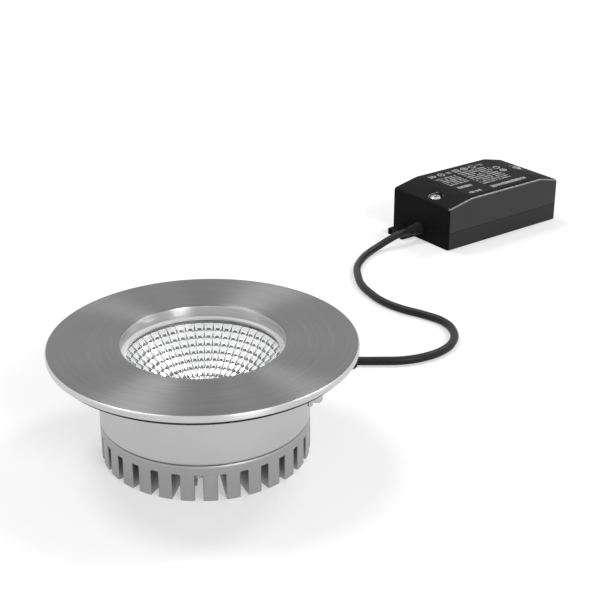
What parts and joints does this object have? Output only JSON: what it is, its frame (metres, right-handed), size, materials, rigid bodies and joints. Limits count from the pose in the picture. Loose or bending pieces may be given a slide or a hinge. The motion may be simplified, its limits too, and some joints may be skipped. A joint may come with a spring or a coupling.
{
  "type": "recessed soffit downlight",
  "caption": "Round recessed downlight with a brushed faceplate, spring clips and a finned body, wired by a short lead to a slim remote driver in a black plastic case.",
  "frame": {"origin": "on the lamp's axis, in the plane of the gasket that bears on the soffit", "axes": "+Z is the way the light leaves, +Y the side that the lead leaves by, +X towards the right-hand spring clip; the foot of the fins and of the driver lie 30 mm down in -Z"},
  "size_m": [0.1744, 0.2517, 0.0332],
  "materials": {
    "brushed_faceplate": "circular brushed, satin",
    "cast_alloy": "die-cast, satin",
    "clear_glass": "clear, polished",
    "bright_reflector": "bright vapour coat",
    "pale_rubber": "matte",
    "dark_rubber": "matte",
    "holder_plastic": "satin",
    "alloy_board": "satin",
    "phosphor": "smooth",
    "thermal_sheet": "matte",
    "screw_steel": "bright plated",
    "gland_plastic": "satin",
    "wire_sleeve": "smooth",
    "spring_steel": "cold rolled",
    "lead_jacket": "satin",
    "case_plastic": "satin, finely textured",
    "label_film": "printed film",
    "circuit_laminate": "satin",
    "winding": "ferrite and tape",
    "can_sleeve": "shrink sleeve",
    "terminal_plastic": "satin",
    "clamp_plastic": "satin"
  },
  "bodies": {
    "lamp_and_driver": {"trim_ring": "brushed_faceplate", "soffit_gasket": "dark_rubber", "lamp_body": "cast_alloy", "front_glass": "clear_glass", "glass_seal": "pale_rubber", "retaining_ring": "cast_alloy", "reflector": "bright_reflector", "led_holder": "holder_plastic", "led_board": "alloy_board", "led_phosphor": "phosphor", "thermal_pad": "thermal_sheet", "holder_screws": "screw_steel", "heat_sink": "cast_alloy", "body_screws": "screw_steel", "gland_body": "gland_plastic", "gland_nut": "gland_plastic", "gland_seal": "dark_rubber", "lamp_wires": "wire_sleeve", "clip_bracket_right": "spring_steel", "clip_pin_right": "spring_steel", "clip_bracket_left": "spring_steel", "clip_pin_left": "spring_steel", "driver_lead": "lead_jacket", "driver_grommet": "dark_rubber", "driver_base": "case_plastic", "driver_cover": "case_plastic", "driver_label": "label_film", "cover_screws": "screw_steel", "circuit_board": "circuit_laminate", "transformer": "winding", "input_capacitor": "can_sleeve", "output_capacitors": "can_sleeve", "output_terminal": "terminal_plastic", "mains_terminal": "terminal_plastic", "driver_wires": "wire_sleeve", "mains_clamp": "clamp_plastic"},
    "clip_right": {"clip_arm_right": "spring_steel", "clip_pad_right": "dark_rubber", "clip_spring_right": "spring_steel"},
    "clip_left": {"clip_arm_left": "spring_steel", "clip_pad_left": "dark_rubber", "clip_spring_left": "spring_steel"}
  },
  "joints": [
    {"name": "clip_right_hinge", "type": "hinge", "parent": "lamp_and_driver", "child": "clip_right", "pos_m": [0.0316, 0, -0.012], "axis": [0, 1, 0], "range_deg": [0, 137], "stiffness_Nm_per_rad": 0.01, "springref_deg": -34.38},
    {"name": "clip_left_hinge", "type": "hinge", "parent": "lamp_and_driver", "child": "clip_left", "pos_m": [-0.0316, 0, -0.012], "axis": [0, -1, 0], "range_deg": [0, 137], "stiffness_Nm_per_rad": 0.01, "springref_deg": -34.38}
  ]
}
